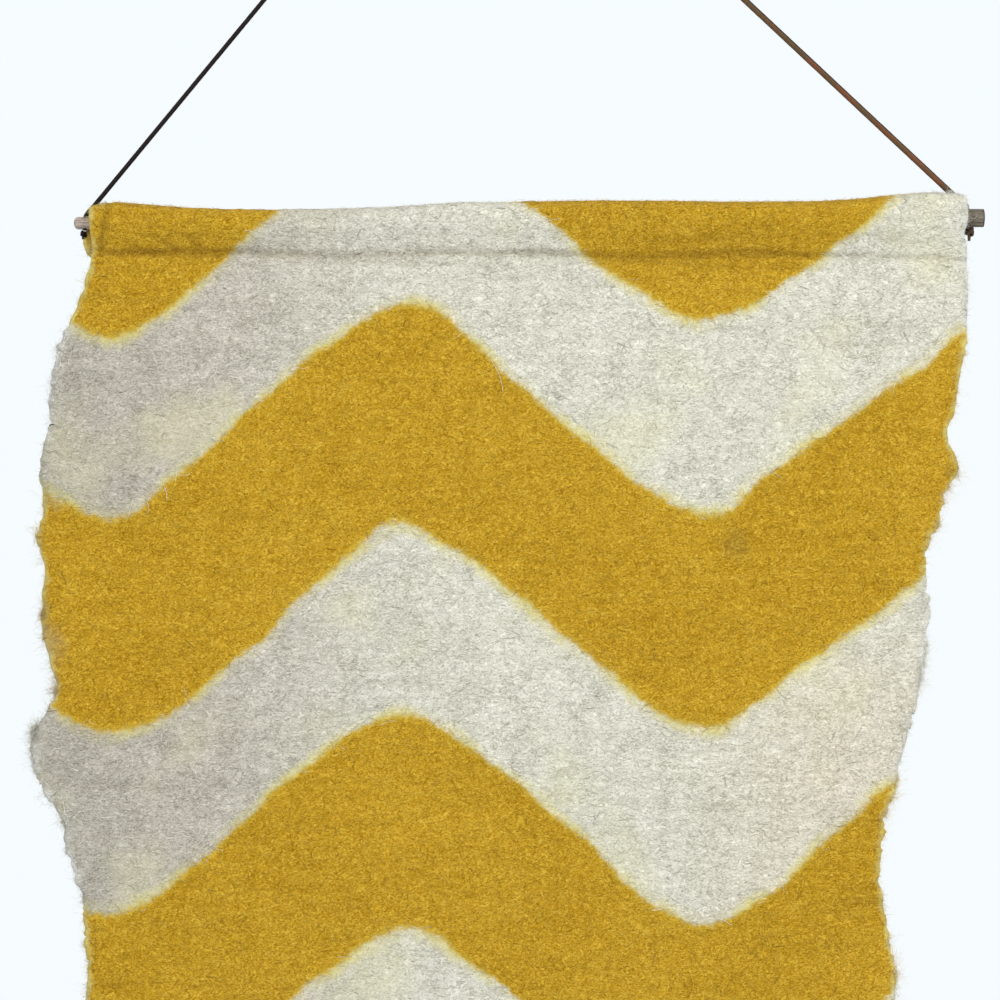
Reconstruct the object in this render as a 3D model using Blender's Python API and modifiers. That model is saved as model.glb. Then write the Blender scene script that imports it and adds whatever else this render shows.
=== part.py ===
"""Felt wall hanging: a felt panel folded over a stick, which hangs from a leather thong.

Metres, +Z up. The origin is the point where a nail carries the thong's loop.
+X is to the viewer's right, -Y faces the viewer and +Y faces the wall.
"""

import math
from collections import namedtuple

import bmesh
import bpy
from mathutils import Vector

MM = 0.001
GAP = 0.4 * MM  # clearance between pieces that touch

# Thong: a round leather lace, tied in a loop that goes over the nail.
THONG_DIAMETER = 6 * MM
THONG_RADIUS = THONG_DIAMETER / 2
THONG_STEP = 3 * THONG_DIAMETER
LOOP_HEIGHT = 32 * MM  # from the nail down to the point where the legs meet
LOOP_WIDTH = 30 * MM  # between the centre lines of the loop's two sides
LOOP_KNOT_RADIUS = 9 * MM
STOP_KNOT_TALL = 0.9  # height over width of the knots under the stick's two ends
KNOT_HANG = 0.3 * MM  # how far the thong shows between the stick and these knots
KNOT_GROOVE = 0.1  # depth of the grooves between a knot's turns, as a share of its radius

# Stick: a peeled branch, thinner and rounded at its left end, sawn off at its right end.
STICK_Y = -6 * MM  # the stick hangs this far in front of the nail
STICK_SIDES = 16

# The drilled holes, and the stop knots under them: each knot's radius and how far it has rolled aside.
Hole = namedtuple("Hole", "side x knot_radius knot_x knot_y")
HOLES_MM = [
    Hole("left", -364, 3.7, -0.5, 0.0),
    Hole("right", 463, 5.0, 3.5, -1.5),
]
StickRing = namedtuple("StickRing", "x z radius")
STICK_MM = [
    StickRing(-374.0, -481.6, 2.6),
    StickRing(-373.4, -481.6, 4.6),
    StickRing(-371.6, -481.6, 6.0),
    StickRing(-366.0, -481.6, 6.4),
    StickRing(-300.0, -481.4, 6.5),
    StickRing(-170.0, -480.2, 6.9),
    StickRing(-60.0, -478.0, 7.2),
    StickRing(10.0, -475.8, 7.6),
    StickRing(170.0, -474.4, 8.1),
    StickRing(330.0, -474.8, 8.6),
    StickRing(440.0, -476.2, 9.0),
    StickRing(480.8, -476.8, 9.1),
    StickRing(481.6, -476.8, 8.5),
]

# Felt: one cloth, whose hem lies behind it and whose fold makes the sleeve for the stick.
FELT_THICKNESS = 4 * MM
SLEEVE_GAP = 0.8 * MM  # between the stick and the cloth folded over it
LAYER_GAP = 0.6 * MM  # between the hem and the front layer
FELT_TOP_Z = -461.7 * MM  # drops are measured down from here
HEM_END_DROP = 61 * MM
FELT_DROP = 1200 * MM
CORNER_RISE = 22 * MM  # the lower corners are rounded off by this much
COLUMNS = 19
COLUMN_BIAS = 0.03
BODY_ROWS = 78
ARC_STEPS = 10
FLANK_STEPS = 4

# The fold's upper line and the crease under the stick, across the width.
Heading = namedtuple("Heading", "x top crease")
HEADING_MM = [
    Heading(-365, 0.0, 47.5),
    Heading(-345, 0.5, 48.0),
    Heading(-300, -3.0, 48.5),
    Heading(-220, -6.8, 46.5),
    Heading(-120, -6.2, 49.0),
    Heading(-60, -5.0, 49.0),
    Heading(-28, -0.5, 47.0),
    Heading(60, 0.5, 47.5),
    Heading(160, 1.8, 52.0),
    Heading(240, -0.6, 47.0),
    Heading(340, 1.6, 49.5),
    Heading(400, 6.5, 50.0),
    Heading(430, 10.4, 52.0),
    Heading(470, 10.8, 52.5),
]

# The cloth's two uneven side edges, from the crease down.
Edge = namedtuple("Edge", "drop left right")
EDGES_MM = [
    Edge(0, -358, 465),
    Edge(49, -358, 463),
    Edge(74, -362, 466),
    Edge(111, -377, 467),
    Edge(149, -391, 460),
    Edge(187, -399, 457),
    Edge(224, -400, 448),
    Edge(252, -405, 459),
    Edge(283, -401, 444),
    Edge(318, -410, 431),
    Edge(356, -402, 428),
    Edge(393, -402, 429),
    Edge(430, -397, 428),
    Edge(449, -390, 425),
    Edge(487, -405, 413),
    Edge(512, -415, 408),
    Edge(543, -409, 399),
    Edge(581, -383, 389),
    Edge(619, -381, 385),
    Edge(656, -365, 388),
    Edge(694, -361, 394),
    Edge(731, -362, 401),
    Edge(820, -366, 392),
    Edge(900, -372, 384),
    Edge(980, -368, 380),
    Edge(1060, -374, 376),
    Edge(1130, -370, 380),
    Edge(1200, -362, 374),
]

NOMINAL_LEFT = EDGES_MM[0].left * MM
NOMINAL_RIGHT = EDGES_MM[0].right * MM

# Where the thong comes up out of the sleeve, the fold's ends are cut back.
# turn runs round the fold: 0 at the front, 90 at the top, 180 at the back,
# 225 at the crease behind and 240 at the hem's end. Below zero the cloth reaches further out.
FoldEnd = namedtuple("FoldEnd", "turn left right")
FOLD_ENDS_MM = [
    FoldEnd(0, 0.0, 0.0),
    FoldEnd(24, 0.0, 1.0),
    FoldEnd(44, 2.0, 5.0),
    FoldEnd(56, 7.5, 10.5),
    FoldEnd(68, 11.5, 26.0),
    FoldEnd(90, 12.0, 28.5),
    FoldEnd(115, 11.5, 27.5),
    FoldEnd(150, 6.5, 22.0),
    FoldEnd(180, 1.5, 16.0),
    FoldEnd(210, -5.0, 7.0),
    FoldEnd(225, -5.0, 4.0),
    FoldEnd(240, 5.0, 5.0),
]

# Soft hollows and swellings of the hanging cloth. depth is towards the viewer.
Fold = namedtuple("Fold", "x drop reach_x reach_z depth")
FOLDS_MM = [
    Fold(-300, 150, 70, 120, 2.5),
    Fold(60, 210, 190, 130, -2.0),
    Fold(430, 260, 60, 110, 4.0),
    Fold(-400, 500, 60, 90, 5.0),
    Fold(180, 520, 150, 160, 2.5),
    Fold(-275, 640, 24, 90, -2.5),
    Fold(-60, 700, 110, 190, 3.0),
    Fold(380, 690, 60, 70, -3.5),
    Fold(-360, 980, 80, 160, 6.0),
    Fold(90, 1010, 130, 170, -3.0),
    Fold(370, 1120, 90, 120, 6.5),
]

Look = namedtuple("Look", "colour roughness metallic")
CREAM_WOOL = Look((0.67, 0.63, 0.55), 0.95, 0.0)
WEATHERED_WOOD = Look((0.24, 0.20, 0.16), 0.85, 0.0)
DARK_LEATHER = Look((0.045, 0.020, 0.012), 0.55, 0.0)


def read_table(rows, key, column, at):
    """Read one column of a table at a place between its rows, on a smooth curve through them."""
    places = [getattr(row, key) for row in rows]
    values = [getattr(row, column) for row in rows]
    if at <= places[0]:
        return values[0]
    if at >= places[-1]:
        return values[-1]
    i = max(k for k, place in enumerate(places) if place <= at)
    span = places[i + 1] - places[i]
    f = (at - places[i]) / span
    rise = values[i + 1] - values[i]
    before = (values[i] - values[i - 1]) / (places[i] - places[i - 1]) if i > 0 else rise / span
    after = (
        (values[i + 2] - values[i + 1]) / (places[i + 2] - places[i + 1])
        if i + 2 < len(rows)
        else rise / span
    )
    start = 0.0 if before * rise <= 0 else (before + rise / span) / 2
    end = 0.0 if after * rise <= 0 else (after + rise / span) / 2
    limit = 3 * abs(rise) / span
    start = math.copysign(min(abs(start), limit), start)
    end = math.copysign(min(abs(end), limit), end)
    return (
        values[i] * (2 * f**3 - 3 * f**2 + 1)
        + values[i + 1] * (3 * f**2 - 2 * f**3)
        + span * (start * (f**3 - 2 * f**2 + f) + end * (f**3 - f**2))
    )


def ease(f):
    """Smooth step from 0 to 1."""
    f = min(max(f, 0.0), 1.0)
    return f * f * (3 - 2 * f)


def stick_axis_z(x):
    return read_table(STICK_MM, "x", "z", x / MM) * MM


def stick_radius(x):
    return read_table(STICK_MM, "x", "radius", x / MM) * MM


# ---------------------------------------------------------------- collections and materials


def clear_scene():
    for item in list(bpy.data.objects):
        bpy.data.objects.remove(item, do_unlink=True)


def new_collection(name):
    collection = bpy.data.collections.new(name)
    bpy.context.scene.collection.children.link(collection)
    return collection


def new_material(name, look):
    material = bpy.data.materials.new(name)
    material.use_nodes = True
    shader = material.node_tree.nodes["Principled BSDF"]
    shader.inputs["Base Color"].default_value = (*look.colour, 1.0)
    shader.inputs["Roughness"].default_value = look.roughness
    shader.inputs["Metallic"].default_value = look.metallic
    material.diffuse_color = (*look.colour, 1.0)
    return material


def new_object(name, data, collection, look):
    item = bpy.data.objects.new(name, data)
    if look:
        data.materials.append(new_material(name, look))
    collection.objects.link(item)
    return item


def mesh_object(name, shape, collection, look=None):
    """Turn a bmesh into a named object and free it."""
    bmesh.ops.recalc_face_normals(shape, faces=shape.faces)
    mesh = bpy.data.meshes.new(name)
    shape.to_mesh(mesh)
    shape.free()
    item = new_object(name, mesh, collection, look)
    mesh.shade_smooth()
    mesh.set_sharp_from_angle(angle=math.radians(50))
    return item


# ---------------------------------------------------------------- tubes


def smooth_route(points, step):
    """Points a step apart along a Catmull-Rom curve through the route's own points."""
    ends = [2 * points[0] - points[1], *points, 2 * points[-1] - points[-2]]
    fine = []
    for a, b, c, d in zip(ends, ends[1:], ends[2:], ends[3:]):
        for k in range(40):
            t = k / 40
            fine.append(
                0.5 * (2 * b + (c - a) * t + (2 * a - 5 * b + 4 * c - d) * t**2
                       + (3 * b - a - 3 * c + d) * t**3)
            )
    fine.append(points[-1])
    lengths = [0.0]
    for p, q in zip(fine, fine[1:]):
        lengths.append(lengths[-1] + (q - p).length)
    count = max(2, round(lengths[-1] / step))
    route = []
    k = 0
    for n in range(count + 1):
        goal = lengths[-1] * n / count
        while k < len(lengths) - 2 and lengths[k + 1] < goal:
            k += 1
        share = (goal - lengths[k]) / (lengths[k + 1] - lengths[k])
        route.append(fine[k].lerp(fine[k + 1], share))
    return route


def tube_object(name, route, radius, collection, look=None, sides=8, sizes=None):
    """A tube along a route, as a curve with filled caps."""
    curve = bpy.data.curves.new(name, "CURVE")
    curve.dimensions = "3D"
    curve.bevel_depth = radius
    curve.bevel_resolution = sides // 2 - 2
    curve.use_fill_caps = True
    curve.twist_mode = "MINIMUM"
    spline = curve.splines.new("POLY")
    spline.points.add(len(route) - 1)
    for i, point in enumerate(route):
        spline.points[i].co = (*point, 1.0)
        spline.points[i].radius = sizes[i] if sizes else 1.0
        spline.points[i].tilt = 0.0
    spline.use_smooth = True
    return new_object(name, curve, collection, look)


def as_mesh(tube, collection, look=None):
    """Replace a curve object by a closed mesh object of the same name and shape."""
    name = tube.name
    tube.name = name + "_curve"
    evaluated = tube.evaluated_get(bpy.context.evaluated_depsgraph_get())
    mesh = bpy.data.meshes.new_from_object(evaluated)
    mesh.name = name
    mesh.materials.clear()
    shape = bmesh.new()
    shape.from_mesh(mesh)
    bmesh.ops.remove_doubles(shape, verts=shape.verts, dist=0.00001)
    bmesh.ops.recalc_face_normals(shape, faces=shape.faces)
    shape.to_mesh(mesh)
    shape.free()
    item = new_object(name, mesh, collection, look)
    item.matrix_world = tube.matrix_world.copy()
    bpy.data.objects.remove(tube, do_unlink=True)
    mesh.shade_smooth()
    mesh.set_sharp_from_angle(angle=math.radians(50))
    return item


def add_boolean(item, other, operation):
    modifier = item.modifiers.new(other.name, "BOOLEAN")
    modifier.object = other
    modifier.operation = operation
    modifier.solver = "EXACT"


def hide_cutter(item):
    item.hide_render = True
    item.display_type = "WIRE"


# ---------------------------------------------------------------- thong

MEETING_POINT = Vector((0.0, 0.0, -LOOP_HEIGHT))


def leg_points(hole_x):
    """From under the stick, up through its hole and straight on to the loop's knot."""
    axis_z = stick_axis_z(hole_x)
    radius = stick_radius(hole_x)
    inward = -math.copysign(1, hole_x)
    knot_top = Vector((hole_x, STICK_Y, axis_z - radius - KNOT_HANG))
    middle = Vector((hole_x, STICK_Y, axis_z))
    mouth = Vector((hole_x + 0.6 * MM * inward, STICK_Y, axis_z + radius + 0.8 * MM))
    way = (MEETING_POINT - mouth).normalized()
    length = (MEETING_POINT - mouth).length
    bend = [mouth + way * 11 * MM, mouth + way * 32 * MM]
    near = smooth_route([knot_top, middle, mouth, *bend], THONG_STEP / 4)
    top = MEETING_POINT - way * (LOOP_KNOT_RADIUS + GAP)
    run = [bend[-1], *(mouth + way * share * length for share in (0.3, 0.55, 0.8)), top]
    return near + smooth_route(run, THONG_STEP)[1:]


def knot(name, centre, radius, tall, turns, collection, look=None):
    """A pulled-tight knot: a ball with grooves between its turns."""
    shape = bmesh.new()
    bmesh.ops.create_uvsphere(shape, u_segments=16, v_segments=10, radius=1.0)
    for vertex in shape.verts:
        x, y, z = vertex.co
        around = math.atan2(y, x)
        groove = math.cos(turns * around + 3.0 * z) * math.sqrt(max(0.0, 1 - z * z))
        size = radius * (1 - KNOT_GROOVE + KNOT_GROOVE * groove)
        vertex.co = Vector((x * size, y * size, z * size * tall)) + centre
    return mesh_object(name, shape, collection, look)


def thong_loop(parts, cutters):
    """The loop over the nail, fused with the knot that closes it."""
    side = LOOP_WIDTH / 2
    crown = THONG_RADIUS  # centre line of the bight, which sits on the nail
    drawn = [
        (-0.12, -LOOP_HEIGHT),
        (-0.42, -0.66 * LOOP_HEIGHT),
        (-0.96, -0.34 * LOOP_HEIGHT),
        (-0.82, -0.06 * LOOP_HEIGHT),
        (0.0, crown),
    ]
    left = [Vector((x * side, 0.0, z)) for x, z in drawn]
    right = [Vector((-p.x, 0.0, p.z)) for p in reversed(left[:-1])]
    route = smooth_route(left + right, 0.9 * THONG_DIAMETER)
    bight = as_mesh(tube_object("loop_bight", route, THONG_RADIUS, cutters, sides=8), cutters)
    hide_cutter(bight)
    loop = knot("thong_loop", MEETING_POINT, LOOP_KNOT_RADIUS, 0.95, 2, parts, DARK_LEATHER)
    add_boolean(loop, bight, "UNION")
    return loop


def thong_legs(parts):
    for hole in HOLES_MM:
        route = leg_points(hole.x * MM)
        tube_object("thong_" + hole.side, route, THONG_RADIUS, parts, DARK_LEATHER, sides=8)


def stop_knots(parts):
    for hole in HOLES_MM:
        x = hole.x * MM
        radius = hole.knot_radius * MM
        knot_top = (1 - KNOT_GROOVE) * STOP_KNOT_TALL * radius
        below = stick_radius(x) + KNOT_HANG + GAP + knot_top
        aside = Vector((hole.knot_x, hole.knot_y, 0.0)) * MM
        centre = Vector((x, STICK_Y, stick_axis_z(x) - below)) + aside
        knot("knot_" + hole.side, centre, radius, STOP_KNOT_TALL, 3, parts, DARK_LEATHER)


# ---------------------------------------------------------------- stick


def stick(parts, cutters):
    """The branch, drilled near both ends for the thong."""
    route = [Vector((ring.x, 0.0, ring.z)) * MM + Vector((0.0, STICK_Y, 0.0)) for ring in STICK_MM]
    sizes = [ring.radius for ring in STICK_MM]
    tube = tube_object("stick", route, 1 * MM, parts, None, STICK_SIDES, sizes)
    branch = as_mesh(tube, parts, WEATHERED_WOOD)
    for hole in HOLES_MM:
        x = hole.x * MM
        clear_of_stick = stick_axis_z(x) + 4 * stick_radius(x)
        path = [point for point in leg_points(x) if point.z < clear_of_stick]
        start = path[0] - Vector((0.0, 0.0, 3 * MM))
        name = "hole_" + hole.side
        tool = tube_object(name, [start, *path], THONG_RADIUS + GAP, cutters, sides=8)
        tool = as_mesh(tool, cutters)
        hide_cutter(tool)
        add_boolean(branch, tool, "DIFFERENCE")
    return branch


# ---------------------------------------------------------------- felt


def fold_section(x):
    """The cloth's middle line over the stick at x: (turn, y, z) from the hem's end to the crease."""
    crown_z = FELT_TOP_Z + read_table(HEADING_MM, "x", "top", x / MM) * MM
    crease_z = FELT_TOP_Z - read_table(HEADING_MM, "x", "crease", x / MM) * MM
    axis_z = stick_axis_z(x)
    round_radius = stick_radius(x) + SLEEVE_GAP + FELT_THICKNESS / 2
    centre_z = max(axis_z, crown_z - FELT_THICKNESS / 2 - round_radius)
    layer_y = (FELT_THICKNESS + LAYER_GAP) / 2

    def flank(f):
        return layer_y + (round_radius - layer_y) * ease(f), crease_z + (axis_z - crease_z) * f

    hem_z = FELT_TOP_Z - HEM_END_DROP
    section = [(240, layer_y, hem_z), (230, layer_y, (hem_z + crease_z) / 2)]
    section += [(225 - 45 * k / FLANK_STEPS, *flank(k / FLANK_STEPS)) for k in range(FLANK_STEPS)]
    section.append((180, round_radius, axis_z - 0.5 * MM))
    for k in range(ARC_STEPS + 1):
        turn = 180 - 180 * k / ARC_STEPS
        angle = math.radians(turn)
        y = -round_radius * math.cos(angle)
        section.append((turn, y, centre_z + 1 * MM + (round_radius - 1 * MM) * math.sin(angle)))
    section.append((0, -round_radius, axis_z - 0.5 * MM))
    for k in reversed(range(FLANK_STEPS)):
        y, z = flank(k / FLANK_STEPS)
        section.append((0, -y, z))
    return section


def swell(x, drop):
    """How far the hanging cloth stands out from its flat plane."""
    total = 0.0
    for fold in FOLDS_MM:
        across = (x / MM - fold.x) / fold.reach_x
        down = (drop / MM - fold.drop) / fold.reach_z
        total += fold.depth * MM * math.exp(-across * across - down * down)
    return total * ease((drop - HEM_END_DROP) / (60 * MM))


def bottom_drop(share):
    """The lower edge: slightly uneven, with rounded corners."""
    wave = 5 * MM * math.sin(9.5 * share + 0.6) + 3 * MM * math.sin(23 * share)
    return FELT_DROP + wave - CORNER_RISE * abs(2 * share - 1) ** 10


def body_point(share, row):
    """A point of the hanging cloth: share runs across it, and row down from the crease."""
    x = NOMINAL_LEFT + (NOMINAL_RIGHT - NOMINAL_LEFT) * share
    crease_drop = read_table(HEADING_MM, "x", "crease", x / MM) * MM
    drop = crease_drop + (bottom_drop(share) - crease_drop) * row / BODY_ROWS
    left = read_table(EDGES_MM, "drop", "left", drop / MM) * MM
    right = read_table(EDGES_MM, "drop", "right", drop / MM) * MM
    x = left + (right - left) * share
    y = -(FELT_THICKNESS + LAYER_GAP) / 2 - swell(x, drop)
    return Vector((x, STICK_Y + y, FELT_TOP_Z - drop))


def fold_point(share, station):
    """A point of the cloth round the stick, at one of the section's stations."""
    turn = fold_section(0.0)[station][0]
    left = NOMINAL_LEFT + read_table(FOLD_ENDS_MM, "turn", "left", turn) * MM
    right = NOMINAL_RIGHT - read_table(FOLD_ENDS_MM, "turn", "right", turn) * MM
    x = left + (right - left) * share
    _, y, z = fold_section(x)[station]
    return Vector((x, STICK_Y + y, z))


def spread_out(share):
    """Move the columns towards the two side edges, which need them most."""
    return share - COLUMN_BIAS * math.sin(2 * math.pi * share)


def felt(parts):
    """The whole cloth as one open sheet, thickened."""
    stations = len(fold_section(0.0))
    rows = stations + BODY_ROWS
    shape = bmesh.new()
    bmesh.ops.create_grid(shape, x_segments=COLUMNS, y_segments=rows - 1, size=0.5)
    for vertex in shape.verts:
        share = spread_out(0.5 + vertex.co.x)
        index = round((0.5 + vertex.co.y) * (rows - 1))
        if index < stations:
            vertex.co = fold_point(share, index)
        else:
            vertex.co = body_point(share, index - stations + 1)
    item = mesh_object("felt", shape, parts, CREAM_WOOL)
    solidify = item.modifiers.new("thickness", "SOLIDIFY")
    solidify.thickness = FELT_THICKNESS
    solidify.offset = 0.0
    return item


def main():
    clear_scene()
    parts = new_collection("felt_wall_hanging")
    cutters = new_collection("cutters")
    felt(parts)
    stick(parts, cutters)
    thong_legs(parts)
    thong_loop(parts, cutters)
    stop_knots(parts)


main()
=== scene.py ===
"""Looks of the felt wall hanging: hairy felt, weathered stick and leather thong."""

import math
from collections import namedtuple

import bmesh
import bpy
import numpy as np
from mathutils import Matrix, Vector, noise
from mathutils.kdtree import KDTree


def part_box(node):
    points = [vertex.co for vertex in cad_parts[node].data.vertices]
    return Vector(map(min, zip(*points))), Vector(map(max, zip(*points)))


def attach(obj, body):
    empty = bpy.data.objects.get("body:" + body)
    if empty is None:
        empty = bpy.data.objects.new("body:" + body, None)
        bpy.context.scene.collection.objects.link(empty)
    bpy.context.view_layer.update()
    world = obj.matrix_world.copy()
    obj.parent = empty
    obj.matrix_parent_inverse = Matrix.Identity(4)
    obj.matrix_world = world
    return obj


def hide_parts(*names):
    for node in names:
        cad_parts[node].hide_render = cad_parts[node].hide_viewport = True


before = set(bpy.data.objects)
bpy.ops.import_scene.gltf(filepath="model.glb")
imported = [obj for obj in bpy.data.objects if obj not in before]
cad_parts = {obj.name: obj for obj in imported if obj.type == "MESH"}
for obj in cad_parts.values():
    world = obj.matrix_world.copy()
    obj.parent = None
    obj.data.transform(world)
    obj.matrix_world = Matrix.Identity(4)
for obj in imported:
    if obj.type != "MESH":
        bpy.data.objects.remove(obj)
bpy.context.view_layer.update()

MM = 0.001
ROOT = "root"
NOISE_SEED = 46  # noise vectors take their offsets from the clock until a seed is set
noise.seed_set(NOISE_SEED)

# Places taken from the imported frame.
FELT_LOW, FELT_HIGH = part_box("felt")
STICK_LOW, STICK_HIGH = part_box("stick")
STICK_Y = -6 * MM  # the stick's axis


def linked(name, data):
    """A new object in the scene."""
    item = bpy.data.objects.new(name, data)
    bpy.context.scene.collection.objects.link(item)
    return item


# ---------------- camera

VIEW_WIDTH = 0.94
VIEW_DISTANCE = 2.3
VIEW_LEFT = 27 * MM  # the view's middle is this far left of the stick's middle
VIEW_DOWN = 291 * MM  # and this far below the felt's top
FELT_FRONT = 3 * MM  # the felt's face is about this far before the stick's axis
SENSOR = 36.0


def make_camera():
    """Straight in front, with the stick near the top of the view."""
    data = bpy.data.cameras.new("camera")
    data.sensor_width = SENSOR
    data.lens = SENSOR * VIEW_DISTANCE / VIEW_WIDTH
    camera = linked("camera", data)
    camera.location = (
        (STICK_LOW.x + STICK_HIGH.x) / 2 - VIEW_LEFT,
        STICK_Y - FELT_FRONT - VIEW_DISTANCE,
        FELT_HIGH.z - VIEW_DOWN,
    )
    camera.rotation_euler = (math.pi / 2, 0, 0)
    bpy.context.scene.camera = camera


make_camera()


# ---------------- shader graphs


class Graph:
    """A material's nodes, made by short calls. Inputs are sockets, numbers, colours or vectors."""

    def __init__(self, name):
        self.material = bpy.data.materials.new(name)
        self.material.use_nodes = True
        self.tree = self.material.node_tree
        self.shader = self.tree.nodes["Principled BSDF"]

    def feed(self, socket, value):
        if isinstance(value, bpy.types.NodeSocket):
            self.tree.links.new(value, socket)
        elif value is not None:
            socket.default_value = value

    def node(self, kind, inputs=(), **settings):
        made = self.tree.nodes.new(kind)
        for key, value in settings.items():
            setattr(made, key, value)
        for key, value in dict(inputs).items():
            self.feed(made.inputs[key], value)
        return made

    def math(self, operation, a, b=None, c=None):
        return self.node("ShaderNodeMath", {0: a, 1: b, 2: c}, operation=operation).outputs[0]

    def vector(self, operation, a, b):
        made = self.node("ShaderNodeVectorMath", {0: a, 1: b}, operation=operation)
        return made.outputs["Value" if operation == "DISTANCE" else "Vector"]

    def scaled(self, vector, amount):
        made = self.node("ShaderNodeVectorMath", {0: vector, "Scale": amount}, operation="SCALE")
        return made.outputs["Vector"]

    def times(self, vector, factors):
        return self.vector("MULTIPLY", vector, factors)

    def product(self, a, b):
        return self.math("MULTIPLY", a, b)

    def object_place(self):
        return self.node("ShaderNodeTexCoord").outputs["Object"]

    def axes(self, place):
        return self.node("ShaderNodeSeparateXYZ", {0: place}).outputs

    def noise(self, vector, scale, detail=2.0, roughness=0.5, colour=False):
        inputs = {"Vector": vector, "Scale": scale, "Detail": detail, "Roughness": roughness}
        return self.node("ShaderNodeTexNoise", inputs).outputs["Color" if colour else "Fac"]

    def warp(self, place, scale):
        """A wandering vector around zero."""
        return self.vector("SUBTRACT", self.noise(place, scale, colour=True), (0.5, 0.5, 0.5))

    def smooth(self, value, low, high, to_low=0.0, to_high=1.0):
        """An eased step from to_low, where the value is low, to to_high, where it is high."""
        inputs = {
            "Value": value, "From Min": low, "From Max": high, "To Min": to_low, "To Max": to_high,
        }
        made = self.node("ShaderNodeMapRange", inputs, interpolation_type="SMOOTHSTEP")
        return made.outputs["Result"]

    def total(self, base, *terms):
        """A base number or value with values added, each times its share."""
        for value, share in terms:
            base = self.math("MULTIPLY_ADD", value, share, base)
        return base

    def tones(self, value, dark, middle, light):
        """From dark at 0 by way of middle at 0.5 to light at 1."""
        tone = self.mix(self.math("MULTIPLY_ADD", value, -2.0, 1.0), middle, dark)
        return self.mix(self.math("MULTIPLY_ADD", value, 2.0, -1.0), tone, light)

    def mix(self, share, a, b, blend="MIX"):
        inputs = {"Factor": share, 6: a, 7: b}
        made = self.node("ShaderNodeMix", inputs, data_type="RGBA", blend_type=blend)
        return made.outputs[2]

    def attribute(self, name):
        return self.node("ShaderNodeAttribute", attribute_name=name).outputs["Fac"]

    def turned(self, vector, angle, scale):
        inputs = {"Vector": vector, "Rotation": (0.0, angle, 0.0), "Scale": scale}
        return self.node("ShaderNodeMapping", inputs, vector_type="TEXTURE").outputs["Vector"]

    def bump(self, height, distance, strength):
        inputs = {"Height": height, "Distance": distance, "Strength": strength}
        return self.node("ShaderNodeBump", inputs).outputs["Normal"]

    def finish(self, **inputs):
        for key, value in inputs.items():
            self.feed(self.shader.inputs[key.replace("_", " ")], value)
        return self.material


def rgb(red, green, blue):
    """A display colour from 0 to 255 as a linear one, by the sRGB curve."""
    def linear(v):
        v /= 255
        return v / 12.92 if v <= 0.04045 else ((v + 0.055) / 1.055) ** 2.4
    return (linear(red), linear(green), linear(blue), 1.0)


# ---------------- meshes


def add_piece(name, mesh, material, replaced=()):
    """Link a mesh as a piece of the object, with its material and body, and hide the parts it
    replaces.
    """
    piece = linked(name, mesh)
    mesh.materials.clear()
    mesh.materials.append(material)
    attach(piece, ROOT)
    if replaced:
        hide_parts(*replaced)
    return piece


def mesh_from(shape, name, sharp=None):
    """A mesh out of a bmesh, smooth apart from edges sharper than an angle in degrees."""
    mesh = bpy.data.meshes.new(name)
    shape.to_mesh(mesh)
    shape.free()
    if sharp is not None:
        mesh.shade_smooth()
        mesh.set_sharp_from_angle(angle=math.radians(sharp))
    return mesh


def store(mesh, name, values):
    """A number for each vertex, for the shaders."""
    mesh.attributes.new(name, "FLOAT", "POINT").data.foreach_set("value", values)


CURVE_STEPS = 40  # between two of a route's own points, before they are spaced evenly


def smooth_route(points, step):
    """Points a step apart along a Catmull-Rom curve through the route's own points."""
    ends = [2 * points[0] - points[1], *points, 2 * points[-1] - points[-2]]
    fine = []
    for a, b, c, d in zip(ends, ends[1:], ends[2:], ends[3:]):
        for k in range(CURVE_STEPS):
            t = k / CURVE_STEPS
            fine.append(
                0.5 * (2 * b + (c - a) * t + (2 * a - 5 * b + 4 * c - d) * t**2
                       + (3 * b - a - 3 * c + d) * t**3)
            )
    fine.append(points[-1])
    lengths = np.cumsum([0.0] + [(q - p).length for p, q in zip(fine, fine[1:])])
    goals = np.linspace(0.0, lengths[-1], max(2, round(lengths[-1] / step)) + 1)
    columns = [np.interp(goals, lengths, [p[k] for p in fine]) for k in range(3)]
    return [Vector(p) for p in zip(*columns)]


LACE_BUMPS = ((0.035, 260), (0.02, 900))  # share of the radius and scale
LACE_SHARP = 60


def lace_mesh(name, route, section, sides=14, closed=False):
    """A lace along a route, with its cut edges marked for painted shade.

    section(share) gives its half width, half thickness and turn.
    """
    count = len(route)
    shape = bmesh.new()
    edge = shape.verts.layers.float.new("edge")
    rings = []
    across = Vector((0.0, 1.0, 0.0))
    for i, point in enumerate(route):
        before = route[i - 1] if i or closed else route[0]
        after = route[(i + 1) % count] if i + 1 < count or closed else route[-1]
        way = (after - before).normalized()
        across = (across - way * across.dot(way)).normalized()
        other = way.cross(across)
        width, thick, turn = section(i / (count - 1))
        ring = []
        for k in range(sides):
            angle = 2 * math.pi * k / sides
            a, b = width * math.cos(angle), thick * math.sin(angle)
            u = a * math.cos(turn) - b * math.sin(turn)
            v = a * math.sin(turn) + b * math.cos(turn)
            place = point + across * u + other * v
            rough = 1
            for bump, scale in LACE_BUMPS:
                rough += bump * noise.noise(place * scale)
            ring.append(shape.verts.new(point + (place - point) * rough))
            ring[-1][edge] = abs(math.cos(angle))
        rings.append(ring)
    pairs = list(zip(rings, rings[1:]))
    if closed:
        pairs.append((rings[-1], rings[0]))
    for low, high in pairs:
        for k in range(sides):
            shape.faces.new((low[k], low[(k + 1) % sides], high[(k + 1) % sides], high[k]))
    if not closed:
        shape.faces.new(rings[0][::-1])
        shape.faces.new(rings[-1])
    bmesh.ops.recalc_face_normals(shape, faces=shape.faces)
    return mesh_from(shape, name, LACE_SHARP)


# ---------------- thong

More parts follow.
